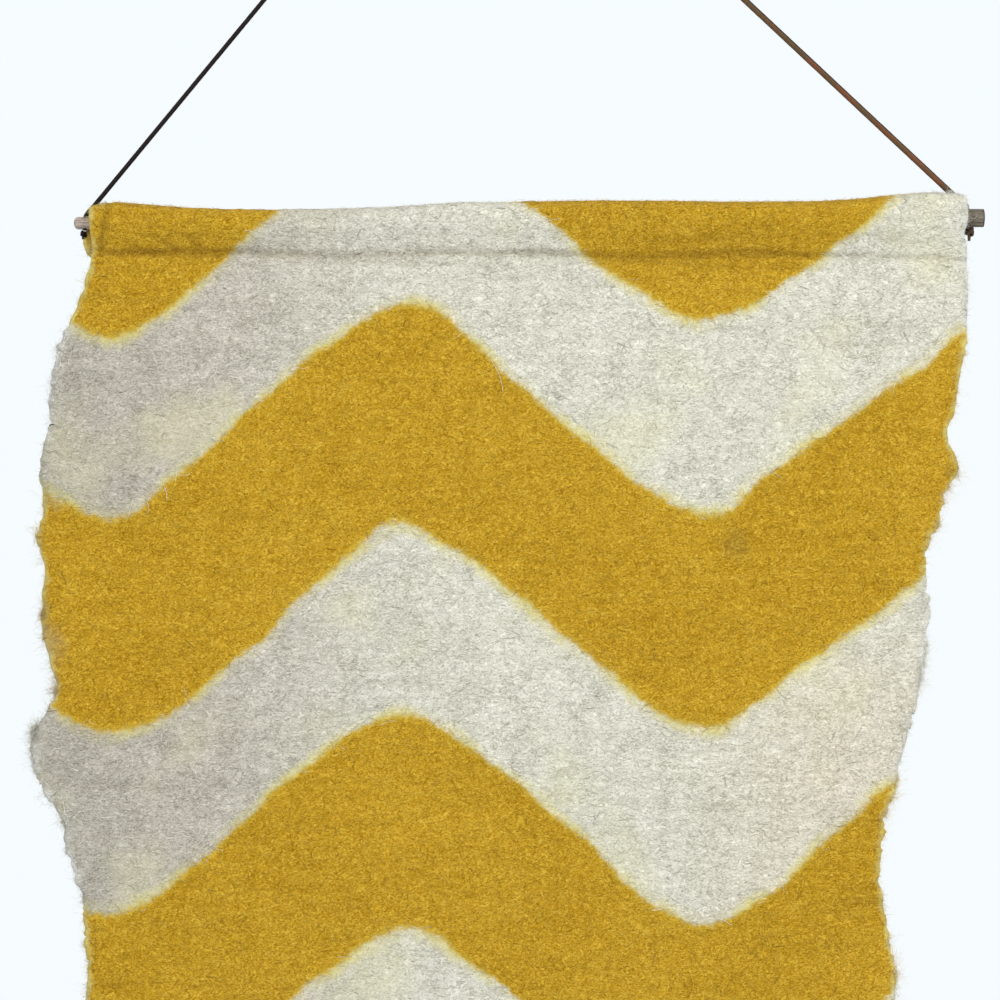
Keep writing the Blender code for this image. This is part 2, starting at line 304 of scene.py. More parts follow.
THONG_DIAMETER = 6 * MM
THONG_RADIUS = THONG_DIAMETER / 2
LACE_HALF_WIDTH = 2.95 * MM
LACE_HALF_THICKNESS = 2.2 * MM
LOOP_HEIGHT = 32 * MM
LOOP_WIDTH = 30 * MM
MEETING_POINT = Vector((0.0, 0.0, -LOOP_HEIGHT))
RING_STEP = 2.2 * MM

# Each leg of the thong: the stick's axis and radius at its hole, how far right of the hole it
# hangs, the lace's turn at foot and head, and its knot's tail, shift and growth. Shifts and tails
# are in millimetres.
Leg = namedtuple("Leg", "x axis_z radius shift turns tail knot_shift growth")
LEGS = {
    "left": Leg(
        -0.364, -0.4816, 0.00641, 0.7, (0.1, 0.4), (-0.4, -1.0, -5.0), (-1.2, 0.0, 0.0), 1.0,
    ),
    "right": Leg(
        0.463, -0.47656, 0.00905, 3.2, (1.25, 0.8), (-0.5, -1.5, -9.0), (0.6, -3.6, 0.6), 1.15,
    ),
}


def leather():
    """Leather: nearly black at the left, brown with redder patches at the right, and painted shade
    on the lace's sides.
    """
    g = Graph("leather")
    place = g.object_place()
    grain = g.noise(place, 420.0, 4.0, 0.65)
    patch = g.noise(place, 34.0, 2.0)
    x, _, z = g.axes(place)
    redder = g.product(g.smooth(x, 0.02, 0.25), g.smooth(z, -0.482, -0.470, 0.55, 1.0))
    dark = g.mix(grain, rgb(13, 6, 8), rgb(34, 17, 20))
    brown = g.mix(grain, rgb(70, 50, 30), rgb(112, 86, 56))
    brown = g.mix(g.smooth(patch, 0.5, 0.65, 0.0, 0.8), brown, rgb(116, 70, 42))
    tone = g.mix(redder, dark, brown)
    # Painted shade: the lace's sides, at its cut edges, are darkened.
    tone = g.mix(g.smooth(g.attribute("edge"), 0.6, 0.9, 0.0, 0.85), tone, rgb(20, 12, 9))
    normal = g.bump(grain, 0.35 * MM, 0.7)
    return g.finish(Base_Color=tone, Roughness=0.6, Normal=normal, Specular_IOR_Level=0.2)


LEATHER = leather()


BEND_REACH_MM = (11, 32)  # points of the bend above the hole's mouth
RUN_SHARES = (0.3, 0.55, 0.8)  # points of the straight run
LEG_END_GAP_MM = 6  # the leg ends inside the loop's knot


def leg_points(leg):
    """The same route as the thong's solid, a little to the right of it, with closer rings."""
    inward = -math.copysign(1, leg.x)
    shift = leg.shift * MM
    knot_top = Vector((leg.x, STICK_Y, leg.axis_z - leg.radius - 0.3 * MM))
    middle = Vector((leg.x, STICK_Y, leg.axis_z))
    mouth_x = leg.x + 0.6 * MM * inward + shift
    mouth = Vector((mouth_x, STICK_Y, leg.axis_z + leg.radius + 0.8 * MM))
    run_end = MEETING_POINT + Vector((shift, 0.0, 0.0))
    way = (run_end - mouth).normalized()
    length = (run_end - mouth).length
    bend = [mouth + way * reach * MM for reach in BEND_REACH_MM]
    near = smooth_route([knot_top, middle, mouth, *bend], RING_STEP)
    run = [bend[-1], *(mouth + way * share * length for share in RUN_SHARES)]
    run.append(MEETING_POINT - way * LEG_END_GAP_MM * MM)
    return near + smooth_route(run, RING_STEP)[1:]


def trefoil(centre, radius, height, lean, count=72):
    """The closed path of a pulled-tight overhand knot."""
    path = []
    for i in range(count):
        t = 2 * math.pi * i / count
        x = radius * (math.sin(t) + 2 * math.sin(2 * t)) / 3
        y = radius * (math.cos(t) - 2 * math.cos(2 * t)) / 3
        z = -height * math.sin(3 * t)
        across = x * math.cos(lean) + z * math.sin(lean)
        up = z * math.cos(lean) - x * math.sin(lean)
        path.append(centre + Vector((across, y, up)))
    return path


def joined(name, meshes):
    """One mesh out of several."""
    shape = bmesh.new()
    for mesh in meshes:
        shape.from_mesh(mesh)
    return mesh_from(shape, name, LACE_SHARP)


def round_section(radius):
    """A strand pulled nearly round, turning as it goes."""
    return lambda share: (radius, 0.86 * radius, 2.0 * share)


def tail_section(radius):
    """Pulled thin at its cut end."""
    return lambda share: (radius * (1 - 0.45 * share), 0.7 * radius * (1 - 0.3 * share), 1.2)


KNOT_SIDES = 12
KNOT_STRAND, KNOT_WIDTH, KNOT_HEIGHT = 0.44, 0.62, 0.42  # as shares of half the knot's size
KNOT_LEAN = 0.35


def make_stop_knot(side, leg):
    """The overhand knot under the stick's end, with its short cut tail."""
    low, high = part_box("knot_" + side)
    centre = (low + high) / 2 + Vector(leg.knot_shift) * MM
    tail_way = Vector(leg.tail) * MM
    size = (high.x - low.x) / 2 * leg.growth
    strand = KNOT_STRAND * size
    path = trefoil(centre, KNOT_WIDTH * size, KNOT_HEIGHT * size, KNOT_LEAN)
    tail = smooth_route([centre, centre + tail_way * 0.5, centre + tail_way], 1 * MM)
    meshes = [
        lace_mesh("turns", path, round_section(strand), KNOT_SIDES, closed=True),
        lace_mesh("tail", tail, tail_section(strand), KNOT_SIDES),
    ]
    mesh = joined("knot_" + side, meshes)
    return add_piece("stop_knot_" + side, mesh, LEATHER, ["knot_" + side])


def make_loop():
    """The loop over the nail and the knot that closes it."""
    half = LOOP_WIDTH / 2
    drawn = [
        (-0.12, -LOOP_HEIGHT),
        (-0.42, -0.66 * LOOP_HEIGHT),
        (-0.96, -0.34 * LOOP_HEIGHT),
        (-0.82, -0.06 * LOOP_HEIGHT),
        (0.0, THONG_RADIUS),
    ]
    left = [Vector((x * half, 0.0, z)) for x, z in drawn]
    right = [Vector((-p.x, 0.0, p.z)) for p in reversed(left[:-1])]
    bight = smooth_route(left + right, 1.5 * MM)
    knot_path = trefoil(MEETING_POINT, radius=5.6 * MM, height=3.1 * MM, lean=0.5, count=96)
    meshes = [
        lace_mesh("bight", bight, lambda share: (THONG_RADIUS, 0.8 * THONG_RADIUS, 0.3)),
        lace_mesh("turns", knot_path, round_section(2.7 * MM), closed=True),
    ]
    return add_piece("tied_loop", joined("tied_loop", meshes), LEATHER, ["thong_loop"])


def leg_section(start_turn, end_turn):
    """The lace is wider than it is thick, and turns slowly along its run."""
    def section(share):
        turn = start_turn + (end_turn - start_turn) * share
        return LACE_HALF_WIDTH, LACE_HALF_THICKNESS, turn
    return section


def make_thong():
    loop = make_loop()
    for side, leg in LEGS.items():
        knot = make_stop_knot(side, leg)
        route = leg_points(leg)
        mesh = lace_mesh("thong_" + side, route, leg_section(*leg.turns))
        lace = add_piece("lace_" + side, mesh, LEATHER, ["thong_" + side])


make_thong()


# ---------------- stick


LEFT_ROUNDING = 6 * MM  # how far from the tip the worn left end curves in
LEFT_CLOSE = 8 * MM  # the rings are closer together near both ends
RIGHT_CLOSE = 30 * MM
SAWN_RIM = 2.2 * MM  # the right end is dark from here to its sawn face
STICK_SIDES = 44
STICK_SHARP = 55
GROOVE_DEPTH = 0.22 * MM
LUMP_HEIGHT = 0.3 * MM
LEAST_RING = 12  # a ring of the solid has at least this many vertices, a hole's edge has fewer


def wood():
    """Weathered wood: grey with dark lengthwise cracks, pinker and smoother at the left end."""
    g = Graph("weathered_wood")
    place = g.object_place()
    side = g.axes(place)[0]
    squeezed = g.times(place, (0.09, 1.0, 1.0))
    grain = g.noise(squeezed, 900.0, 5.0, 0.7)
    broad = g.noise(squeezed, 190.0, 3.0, 0.6)
    dirt = g.noise(g.times(place, (14.0, 1.0, 1.0)), 6.0, 3.0)
    pink = g.smooth(side, -0.2, -0.33)
    lighter = g.smooth(broad, 0.3, 0.7)
    grey = g.mix(lighter, rgb(76, 68, 57), rgb(130, 121, 104))
    rose = g.mix(lighter, rgb(156, 140, 130), rgb(196, 180, 168))
    tone = g.mix(pink, grey, rose)
    streak = g.smooth(g.noise(squeezed, 520.0, 3.0, 0.6), 0.45, 0.65)
    pale = g.mix(pink, rgb(150, 141, 124), rgb(208, 192, 180))
    tone = g.mix(g.product(streak, 0.45), tone, pale)
    crack = g.smooth(grain, 0.53, 0.66)
    crack_share = g.mix(pink, (0.7,) * 4, (0.2,) * 4)
    tone = g.mix(g.product(crack, crack_share), tone, rgb(44, 36, 30))
    tone = g.mix(g.smooth(dirt, 0.5, 0.8, 0.0, 0.4), tone, rgb(84, 74, 62))
    sawn = g.smooth(side, STICK_HIGH.x - SAWN_RIM, STICK_HIGH.x - 0.2 * MM, 0.0, 0.75)
    tone = g.mix(sawn, tone, rgb(44, 37, 32))
    height = g.math("ADD", g.product(crack, -1.0), g.product(broad, 0.5))
    return g.finish(Base_Color=tone, Roughness=0.85, Normal=g.bump(height, 0.4 * MM, 0.8))


def stick_rings():
    """Centre and radius of the CAD stick's own rings, leaving out the vertices of its holes."""
    groups = {}
    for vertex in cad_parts["stick"].data.vertices:
        groups.setdefault(round(vertex.co.x, 4), set()).add(tuple(round(c, 6) for c in vertex.co))
    rings = []
    for x in sorted(groups):
        if len(groups[x]) >= LEAST_RING:
            points = np.array(sorted(groups[x]))
            centre = (points.min(0) + points.max(0)) / 2
            rings.append((x, centre[1], centre[2], (points[:, 2].max() - points[:, 2].min()) / 2))
    return np.array(rings)


def make_stick():
    """The stick on its solid's own rings, with grooves and lumps and a worn left end."""
    rings = stick_rings()
    left_end, right_end = rings[0, 0], rings[-1, 0]
    stops = np.concatenate([
        np.linspace(left_end, left_end + LEFT_CLOSE, 12)[:-1],
        np.linspace(left_end + LEFT_CLOSE, right_end - RIGHT_CLOSE, 190)[:-1],
        np.linspace(right_end - RIGHT_CLOSE, right_end, 22),
    ])
    sides = STICK_SIDES
    shape = bmesh.new()
    made = []
    for x in stops:
        middle_y, middle_z, radius = (np.interp(x, rings[:, 0], rings[:, k]) for k in (1, 2, 3))
        centre = Vector((x, middle_y, middle_z))
        short = max(0.0, 1 - (x - left_end) / LEFT_ROUNDING)
        radius *= 1 - 0.3 * (1 - math.sqrt(1 - short * short))
        ring = []
        for k in range(sides):
            angle = 2 * math.pi * k / sides
            way = Vector((0.0, math.cos(angle), math.sin(angle)))
            groove = noise.noise(Vector((x * 22, way.y * 5, way.z * 5)))
            lump = noise.noise(Vector((x * 40, way.y * 1.2, way.z * 1.2)))
            size = radius + GROOVE_DEPTH * groove + LUMP_HEIGHT * lump
            ring.append(shape.verts.new(centre + way * size))
        made.append(ring)
    for low, high in zip(made, made[1:]):
        for k in range(sides):
            shape.faces.new((low[k], high[k], high[(k + 1) % sides], low[(k + 1) % sides]))
    for ring in (made[0], made[-1]):
        hub = shape.verts.new(sum((v.co for v in ring), Vector()) / sides)
        for k in range(sides):
            shape.faces.new((ring[k], ring[(k + 1) % sides], hub))
    bmesh.ops.recalc_face_normals(shape, faces=shape.faces)
    add_piece("branch", mesh_from(shape, "stick", STICK_SHARP), wood(), ["stick"])


make_stick()


# ---------------- felt: the sheet

FELT_THICKNESS = 4 * MM
HEM_REACH = 62 * MM  # how far the fold and its hem reach down from the felt's highest point
HEM_END = FELT_HIGH.z - HEM_REACH
RIM_THICKNESS = 0.3  # of the full thickness
RIM_REACH = 14 * MM  # where the felt has its full thickness
DECKLE_REACH = 26 * MM  # how far in the rim is frayed
COCKLE_REACH = 60 * MM  # how far in the rim waves back and forth
FINE_REACH = 9 * MM  # the rim's faces are smaller to here
FINE_SLEEVE_X = -235 * MM  # and so are the sleeve's, left of here, for its creases
BELOW_HEM = 45 * MM  # the cloth is fully uneven this far below the hem
# Painted shade: the cloth's colour darkens in its troughs and in the sleeve's groove.
TROUGH_SHADE_DEPTH = 2.2 * MM  # a trough this deep has darkened fully
FLAT_JOIN = 70  # degrees: the solid's triangles are paired up below this
LAYER_EDGE = 60  # degrees: the outer face ends at edges sharper than this

# Soft ridges (depth above zero) and troughs: middle, angle, half length, half width and depth, in
# millimetres and degrees.
Crease = namedtuple("Crease", "x z angle reach width depth")
CREASES_MM = [Crease(*row) for row in (
    (-330, -555, 4, 60, 5, -0.9),
    (-300, -930, -3, 90, 6, 0.9),
    (-335, -1010, 2, 70, 5, -0.8),
    (-250, -1100, 5, 90, 7, 0.8),
    (-268, -1085, 86, 34, 5, -1.0),
    (395, -1100, 18, 60, 7, 1.2),
    (370, -1122, 14, 50, 6, -1.0),
    (420, -720, -8, 45, 6, 0.8),
    (60, -560, 0, 200, 7, 0.5),
    (250, -588, 1, 180, 6, -0.5),
    (-60, -1330, -4, 220, 9, 0.9),
    (150, -1480, 3, 200, 9, -0.9),
)]

# Where the hem's left corner shows from behind the front layer, and how far it is pushed out.
HEM_CORNER = Vector((-0.361, -0.504))
HEM_CORNER_REACH = 15 * MM
HEM_CORNER_PUSH = Vector((-3.5, 0.0, 9.0)) * MM

# Small bites out of the rim: middle, reach and depth.
BITES_MM = [
    (-397, -666, 4.5, 6),
    (-393, -640, 4, 3),
    (-404, -872, 3, 4),
    (-382, -917, 4, 5),
    (451, -742, 4, 4),
    (428, -930, 3, 3),
    (399, -1040, 3.5, 4),
    (470, -491, 8, 4),
]

# The line where the sleeve over the stick ends, and how deep the cloth is dented there. The
# groove is sharper below its line than above it, and has a wide soft part.
GROOVE_ABOVE, GROOVE_BELOW = 4.2, 2.4
GROOVE_SOFT_SHARE, GROOVE_SOFT_WIDTH = 0.28, 3
SLEEVE_LINE_MM = [  # x, z and depth
    (-365, -510, 1.3),
    (-300, -511, 2.5),
    (-220, -510, 2.2),
    (-130, -513, 1.4),
    (-40, -511, 1.5),
    (60, -510, 1.9),
    (160, -515, 1.4),
    (240, -511, 2.1),
    (340, -513, 1.5),
    (470, -516, 0.7),
]

# Troughs in the front face alone, on the sleeve and below it.
SLEEVE_CREASES_MM = [Crease(*row) for row in (
    (-345, -486, 88, 26, 3.4, -2.1),
    (-337, -490, 84, 20, 3.0, 1.0),
    (-262, -500, -24, 22, 2.6, -1.0),
    (-285, -503, -18, 20, 2.6, -0.9),
    (-255, -488, -32, 14, 2.4, -0.7),
    (205, -499, 6, 60, 3.0, -0.7),
    (390, -497, -3, 55, 3.0, -0.8),
    (-20, -486, 2, 90, 4.0, 0.5),
    (-30, -521, 0, 150, 3.2, -0.9),
    (250, -523, -1, 150, 3.2, -0.9),
    (120, -535, 1, 120, 3.0, -0.5),
    (405, -539, -1, 60, 3.4, -0.7),
    (415, -580, 1, 55, 3.6, -0.9),
    (395, -597, 0, 50, 4.0, -0.6),
    (-110, -549, -1, 90, 3.6, -0.5),
)]

# The generic design: ochre zigzag bands, one below the other.
ZIGZAG_PERIOD = 0.56
ZIGZAG_RISE = 0.125
ZIGZAG_PITCH = 0.375
ZIGZAG_BAND = 0.20
ZIGZAG_SHIFT = 0.20
ZIGZAG_DROP = -0.123
ZIGZAG_ROUNDING = 0.93  # 1 would give sharp corners


def band_distance(x, z):
    """How far a place lies inside the ochre (above zero) or outside it, in metres."""
    spot = Vector((x, 0.0, z))
    x += 16 * MM * noise.noise(spot * 5.0) + 5 * MM * noise.noise(spot * 19.0)
    wave = 18 * MM * noise.noise(spot * 4.0 + Vector((7, 0, 3)))
    z += wave + 5 * MM * noise.noise(spot * 23.0)
    across = (x + ZIGZAG_SHIFT) / ZIGZAG_PERIOD
    tooth = math.asin(ZIGZAG_ROUNDING * math.sin(2 * math.pi * across)) * 2 / math.pi
    down = (FELT_HIGH.z - z + ZIGZAG_DROP + ZIGZAG_RISE * tooth) / ZIGZAG_PITCH
    from_middle = abs(down - math.floor(down) - 0.5) * ZIGZAG_PITCH
    slope = math.atan(4 * ZIGZAG_RISE / ZIGZAG_PERIOD)
    return (ZIGZAG_BAND / 2 - from_middle) * math.cos(slope)


def ease(share):
    share = min(1.0, max(0.0, share))
    return share * share * (3 - 2 * share)


def evaluated(mesh, kind, settings, weights=None):
    """A copy of a mesh with a modifier applied."""
    item = linked("working", mesh)
    if weights is not None:
        group = item.vertex_groups.new(name="weight")
        for index, weight in enumerate(weights):
            group.add([index], weight, "REPLACE")
    modifier = item.modifiers.new(kind.lower(), kind)
    for key, value in settings.items():
        setattr(modifier, key, value)
    view = bpy.context.evaluated_depsgraph_get()
    result = bpy.data.meshes.new_from_object(item.evaluated_get(view))
    bpy.data.objects.remove(item)
    return result


def outer_sheet():
    """The outer face of the felt's own solid moved in by half its thickness: an open sheet."""
    shape = bmesh.new()
    shape.from_mesh(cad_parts["felt"].data)
    bmesh.ops.remove_doubles(shape, verts=shape.verts, dist=0.02 * MM)
    wide = math.radians(FLAT_JOIN)
    bmesh.ops.join_triangles(
        shape, faces=shape.faces, angle_face_threshold=wide, angle_shape_threshold=wide,
    )
    front = min(shape.faces, key=lambda face: face.calc_center_median().y)
    kept = {front}
    waiting = [front]
    while waiting:
        for edge in waiting.pop().edges:
            if edge.calc_face_angle(math.pi) < math.radians(LAYER_EDGE):
                fresh = set(edge.link_faces) - kept
                kept |= fresh
                waiting.extend(fresh)
    bmesh.ops.delete(shape, geom=[f for f in shape.faces if f not in kept], context="FACES")
    shape.normal_update()
    for vertex in shape.verts:
        vertex.co -= vertex.normal * (FELT_THICKNESS / 2)
    smooth = {"levels": 2, "boundary_smooth": "PRESERVE_CORNERS"}
    return evaluated(mesh_from(shape, "outer_sheet"), "SUBSURF", smooth)


def rim_distances(shape):
    """How far each vertex is from the rim of its own layer."""
    shape.normal_update()
    rim = [v for v in shape.verts if v.is_boundary]
    tree = KDTree(len(rim))
    for index, vertex in enumerate(rim):
        tree.insert(vertex.co, index)
    tree.balance()
    found = (tree.find(v.co, filter=lambda i: rim[i].normal.dot(v.normal) > 0) for v in shape.verts)
    return [DECKLE_REACH if away is None else away for _, _, away in found]


def with_fine_rim(mesh):
    """The sheet with smaller faces along its rim, and each vertex's distance from it."""
    shape = bmesh.new()
    shape.from_mesh(mesh)
    shape.verts.index_update()
    rims = rim_distances(shape)
    fine = [
        rims[v.index] < FINE_REACH or v.co.x < FINE_SLEEVE_X and v.co.z > HEM_END
        for v in shape.verts
    ]
    near = [e for e in shape.edges if all(fine[v.index] for v in e.verts)]
    bmesh.ops.subdivide_edges(shape, edges=near, cuts=2, use_grid_fill=True)
    rims = rim_distances(shape)
    shape.to_mesh(mesh)
    shape.free()
    return rims


def crease_height(x, z, creases):
    """The height of the listed creases at a place of the hanging cloth."""
    total = 0.0
    for c in creases:
        dx, dz = x / MM - c.x, z / MM - c.z
        turn = math.radians(c.angle)
        along = (dx * math.cos(turn) + dz * math.sin(turn)) / c.reach
        across = (dz * math.cos(turn) - dx * math.sin(turn)) / c.width
        bowed = across + 0.8 * math.sin(2.2 * along)
        total += c.depth * MM * math.exp(-(along**2) - bowed**2)
    return total


def sleeve_groove(x, z):
    """How deep the front layer is dented along the sleeve's lower line."""
    line_x, line_z, line_depth = zip(*SLEEVE_LINE_MM)
    middle = np.interp(x / MM, line_x, line_z) + 1.6 * noise.noise(Vector((x * 30, 0, 1)))
    depth = np.interp(x / MM, line_x, line_depth)
    away = (z / MM - middle) / (GROOVE_ABOVE if z / MM > middle else GROOVE_BELOW)
    soft = GROOVE_SOFT_SHARE * math.exp(-(away * away) / GROOVE_SOFT_WIDTH**2)
    return depth * MM * (math.exp(-away * away) + soft)


FRAY_WAVES = [  # scale, offset and reach in millimetres
    (30.0, (0, 0, 0), 4.5),
    (85.0, (3, 8, 1), 2.4),
    (170.0, (9, 2, 5), 1.9),
    (400.0, (1, 6, 2), 1.4),
]


def uneven(place, rim):
    """How a point of the middle sheet moves: frayed near the rim, and gently cockled."""
    below = ease((HEM_END - place.z) / BELOW_HEM)
    fray = (1 - min(1.0, rim / DECKLE_REACH)) ** 2 * (0.35 + 0.65 * below)
    lively = 0.6 + 1.8 * max(0.0, noise.noise(place * 9.0 + Vector((4, 4, 4))))
    livelier = 0.3 + 2.6 * max(0.0, noise.noise(place * 24.0 + Vector((2, 5, 8))))
    coarse, middle, fine, finest = (
        noise.noise_vector(place * scale + Vector(offset)) * reach
        for scale, offset, reach in FRAY_WAVES
    )
    frayed = (coarse + middle * lively + fine * livelier + finest * livelier) * MM * fray
    for x, z, reach, depth in BITES_MM:
        away = math.hypot(place.x / MM - x, place.z / MM - z) / reach
        frayed.x -= math.copysign(depth, x) * MM * math.exp(-away * away)
    push = Vector()
    if place.y > STICK_Y and place.z < STICK_LOW.z:
        away = (Vector((place.x, place.z)) - HEM_CORNER).length / HEM_CORNER_REACH
        push = HEM_CORNER_PUSH * math.exp(-away * away)
    flat = Vector((place.x * 9.0, 0.0, place.z * 21.0))
    cockle = 1.6 * noise.noise(flat) + 0.7 * noise.noise(flat * 2.7)
    cockle += 1.5 * (1 - min(1.0, rim / COCKLE_REACH)) * noise.noise(place * 30.0)
    lift = (cockle * MM + crease_height(place.x, place.z, CREASES_MM)) * below
    return push + Vector((frayed.x, -lift, frayed.z * below))


def felt_mesh():
    """The felt with its frayed rim, creases and lumps, and at each vertex the ochre's distance and
    the painted shade of its troughs.
    """
    sheet = outer_sheet()
    rims = with_fine_rim(sheet)
    for vertex, rim in zip(sheet.vertices, rims):
        vertex.co = vertex.co + uneven(vertex.co.copy(), rim)
    store(sheet, "rim", rims)
    weights = [ease(rim / RIM_REACH) for rim in rims]
    thick = {
        "thickness": FELT_THICKNESS, "offset": 0.0, "vertex_group": "weight",
        "thickness_vertex_group": RIM_THICKNESS,
    }
    mesh = evaluated(sheet, "SOLIDIFY", thick, weights)
    axis_z = (STICK_LOW.z + STICK_HIGH.z) / 2
    moves = []
    trough_shade = []
    for vertex in mesh.vertices:
        place, normal = vertex.co, vertex.normal
        outward = place.y - STICK_Y, max(0.0, place.z - axis_z)
        outer = place.z < HEM_END or outward[0] * normal.y + outward[1] * normal.z > 0
        flat = Vector((place.x * 0.45, place.y, place.z))
        lump = 0.45 * noise.noise(flat * 60.0) + 0.35 * noise.noise(flat * 140.0)
        dent = 0.0
        if normal.y < 0:
            dent = sleeve_groove(place.x, place.z)
            dent -= crease_height(place.x, place.z, SLEEVE_CREASES_MM)
        moves.append(normal * (lump * MM - dent if outer else 0.0))
        # Painted shade: the deeper a vertex lies in a trough, the darker its colour.
        trough = dent - crease_height(place.x, place.z, CREASES_MM)
        trough_shade.append(ease(trough / TROUGH_SHADE_DEPTH))
    for vertex, move in zip(mesh.vertices, moves):
        vertex.co = vertex.co + move
    store(mesh, "band", [band_distance(v.co.x, v.co.z) for v in mesh.vertices])
    store(mesh, "trough_shade", trough_shade)
    mesh.shade_smooth()
    return mesh


# ---------------- felt: material


def threads(g, place, angle, stretch, scale, width):
    """Thin lines like lying hairs: where a stretched, warped noise crosses its middle."""
    turned = g.turned(place, angle, (stretch, 1.0, 1.0))
    from_middle = g.math("SUBTRACT", g.noise(turned, scale, 1.0, 0.5), 0.5)
    return g.smooth(g.math("ABSOLUTE", from_middle), width, 0.0)


# Small old stains, and two grey patches of painted shade at the thin left rim: middle and reach,
# strength and display colour.
STAINS_AND_SHADE_MM = [
    (-61.5, -911, 8.5, 0.85, (136, 104, 62)),
    (248, -784, 20, 0.35, (128, 104, 44)),
    (452, -716, 12, 0.6, (132, 112, 58)),
    (-246, -1111, 5, 0.7, (112, 110, 70)),
    # Painted shade: these two grey patches stand for shade on the thin left rim.
    (-392, -735, 22, 0.30, (150, 150, 134)),
    (-402, -880, 30, 0.30, (148, 148, 134)),
    (90, -1395, 16, 0.35, (146, 116, 70)),
]


def stained_and_shaded(g, tone, place, warp):
    """Small old stains and patches of painted shade, with uneven rims."""
    wavering = g.vector("ADD", place, g.scaled(warp, 16 * MM))
    for x, z, reach, strength, colour in STAINS_AND_SHADE_MM:
        away = g.vector("DISTANCE", wavering, (x * MM, STICK_Y, z * MM))
        share = g.smooth(away, reach * MM, 0.25 * reach * MM, 0.0, strength)
        tone = g.mix(share, tone, rgb(*colour))
    return tone


# Dark, middle and light tones of the wool, as display colours. The tone follows the wool's relief,
# darker where the relief is low, so the tones are partly painted shade.
CREAM_TONES = [rgb(161, 157, 138), rgb(215, 212, 196), rgb(243, 241, 227)]
LEFT_CREAM_TONES = [rgb(137, 131, 117), rgb(187, 180, 166), rgb(219, 212, 199)]
OCHRE_TONES = [rgb(144, 105, 2), rgb(187, 145, 27), rgb(218, 181, 65)]


